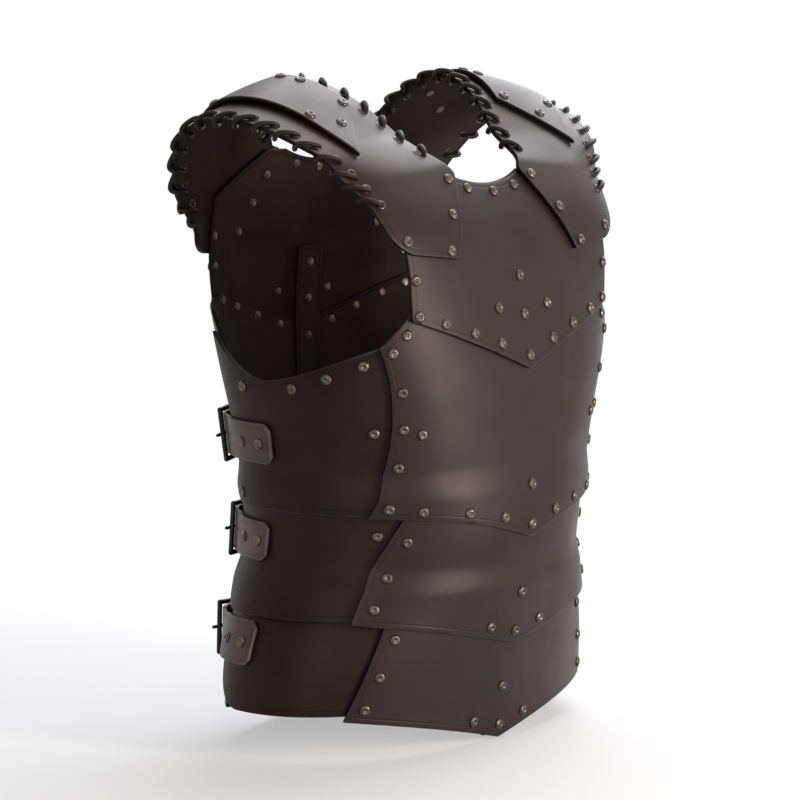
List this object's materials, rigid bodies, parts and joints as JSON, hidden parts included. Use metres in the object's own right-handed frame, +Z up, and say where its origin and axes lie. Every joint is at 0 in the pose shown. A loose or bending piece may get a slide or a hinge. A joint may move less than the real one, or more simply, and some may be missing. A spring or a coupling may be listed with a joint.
{
  "type": "leather cuirass",
  "caption": "Sleeveless torso armour of riveted leather plates: V-edged front and back tiers, side plates with buckled straps, and laced shoulder straps with riveted caps.",
  "frame": {"origin": "on the torso's middle line at the height of the front hem tip, midway between front and back of the hem", "axes": "+Z up from the hem to the shoulders, -Y out of the chest, +X to the wearer's left"},
  "size_m": [0.4028, 0.2502, 0.5286],
  "materials": {
    "plate_leather": "waxed, satin",
    "side_leather": "waxed, satin",
    "strap_leather": "waxed, satin",
    "lace_leather": "dull",
    "antique_brass": "antiqued",
    "blackened_steel": "blackened, satin"
  },
  "bodies": {
    "cuirass": {"arm_lace_L": "lace_leather", "arm_lace_R": "lace_leather", "back_inner_strap": "plate_leather", "back_lame_lower": "plate_leather", "back_lame_upper": "plate_leather", "back_plate": "plate_leather", "back_rivets": "antique_brass", "back_yoke": "plate_leather", "back_yoke_rivets": "antique_brass", "belly_lame_lower": "plate_leather", "belly_lame_upper": "plate_leather", "billet_low_L": "strap_leather", "billet_low_R": "strap_leather", "billet_middle_L": "strap_leather", "billet_middle_R": "strap_leather", "billet_top_L": "strap_leather", "billet_top_R": "strap_leather", "buckle_keepers": "strap_leather", "buckle_tab_low_L": "strap_leather", "buckle_tab_low_R": "strap_leather", "buckle_tab_middle_L": "strap_leather", "buckle_tab_middle_R": "strap_leather", "buckle_tab_top_L": "strap_leather", "buckle_tab_top_R": "strap_leather", "chest_plate": "plate_leather", "chest_yoke": "plate_leather", "fastening_rivets_L": "antique_brass", "fastening_rivets_R": "antique_brass", "front_inner_strap": "plate_leather", "front_rivets": "antique_brass", "front_yoke_rivets": "antique_brass", "lace_eyelets": "antique_brass", "neck_lace_L": "lace_leather", "neck_lace_R": "lace_leather", "shoulder_cap_L": "plate_leather", "shoulder_cap_R": "plate_leather", "shoulder_rivets_L": "antique_brass", "shoulder_rivets_R": "antique_brass", "shoulder_strap_L": "plate_leather", "shoulder_strap_R": "plate_leather", "side_lame_lower_L": "side_leather", "side_lame_lower_R": "side_leather", "side_lame_upper_L": "side_leather", "side_lame_upper_R": "side_leather", "side_panel_L": "side_leather", "side_panel_R": "side_leather", "side_rivets_L": "antique_brass", "side_rivets_R": "antique_brass"},
    "buckle_top_L": {"buckle_frame_top_L": "blackened_steel"},
    "prong_top_L": {"buckle_prong_top_L": "blackened_steel"},
    "buckle_top_R": {"buckle_frame_top_R": "blackened_steel"},
    "prong_top_R": {"buckle_prong_top_R": "blackened_steel"},
    "buckle_middle_L": {"buckle_frame_middle_L": "blackened_steel"},
    "prong_middle_L": {"buckle_prong_middle_L": "blackened_steel"},
    "buckle_middle_R": {"buckle_frame_middle_R": "blackened_steel"},
    "prong_middle_R": {"buckle_prong_middle_R": "blackened_steel"},
    "buckle_low_L": {"buckle_frame_low_L": "blackened_steel"},
    "prong_low_L": {"buckle_prong_low_L": "blackened_steel"},
    "buckle_low_R": {"buckle_frame_low_R": "blackened_steel"},
    "prong_low_R": {"buckle_prong_low_R": "blackened_steel"}
  },
  "joints": [
    {"name": "frame_swing_top_L", "type": "hinge", "parent": "cuirass", "child": "buckle_top_L", "pos_m": [0.10312, 0.09642, 0.24263], "axis": [0.096, 0.0855, 0.9917], "range_deg": [0, 6]},
    {"name": "prong_swing_top_L", "type": "hinge", "parent": "buckle_top_L", "child": "prong_top_L", "pos_m": [0.10312, 0.09642, 0.24263], "axis": [0.096, 0.0855, 0.9917], "range_deg": [0, 8]},
    {"name": "frame_swing_top_R", "type": "hinge", "parent": "cuirass", "child": "buckle_top_R", "pos_m": [-0.10312, 0.09642, 0.24263], "axis": [0.096, -0.0855, -0.9917], "range_deg": [0, 6]},
    {"name": "prong_swing_top_R", "type": "hinge", "parent": "buckle_top_R", "child": "prong_top_R", "pos_m": [-0.10312, 0.09642, 0.24263], "axis": [0.096, -0.0855, -0.9917], "range_deg": [0, 8]},
    {"name": "frame_swing_middle_L", "type": "hinge", "parent": "cuirass", "child": "buckle_middle_L", "pos_m": [0.08934, 0.0989, 0.16335], "axis": [-0.0334, -0.042, 0.9986], "range_deg": [0, 6]},
    {"name": "prong_swing_middle_L", "type": "hinge", "parent": "buckle_middle_L", "child": "prong_middle_L", "pos_m": [0.08934, 0.0989, 0.16335], "axis": [-0.0334, -0.042, 0.9986], "range_deg": [0, 8]},
    {"name": "frame_swing_middle_R", "type": "hinge", "parent": "cuirass", "child": "buckle_middle_R", "pos_m": [-0.08934, 0.0989, 0.16335], "axis": [-0.0334, 0.042, -0.9986], "range_deg": [0, 6]},
    {"name": "prong_swing_middle_R", "type": "hinge", "parent": "buckle_middle_R", "child": "prong_middle_R", "pos_m": [-0.08934, 0.0989, 0.16335], "axis": [-0.0334, 0.042, -0.9986], "range_deg": [0, 8]},
    {"name": "frame_swing_low_L", "type": "hinge", "parent": "cuirass", "child": "buckle_low_L", "pos_m": [0.10409, 0.09635, 0.0843], "axis": [-0.0481, 0.0158, 0.9987], "range_deg": [0, 6]},
    {"name": "prong_swing_low_L", "type": "hinge", "parent": "buckle_low_L", "child": "prong_low_L", "pos_m": [0.10409, 0.09635, 0.0843], "axis": [-0.0481, 0.0158, 0.9987], "range_deg": [0, 8]},
    {"name": "frame_swing_low_R", "type": "hinge", "parent": "cuirass", "child": "buckle_low_R", "pos_m": [-0.10409, 0.09635, 0.0843], "axis": [-0.0481, -0.0158, -0.9987], "range_deg": [0, 6]},
    {"name": "prong_swing_low_R", "type": "hinge", "parent": "buckle_low_R", "child": "prong_low_R", "pos_m": [-0.10409, 0.09635, 0.0843], "axis": [-0.0481, -0.0158, -0.9987], "range_deg": [0, 8]}
  ]
}
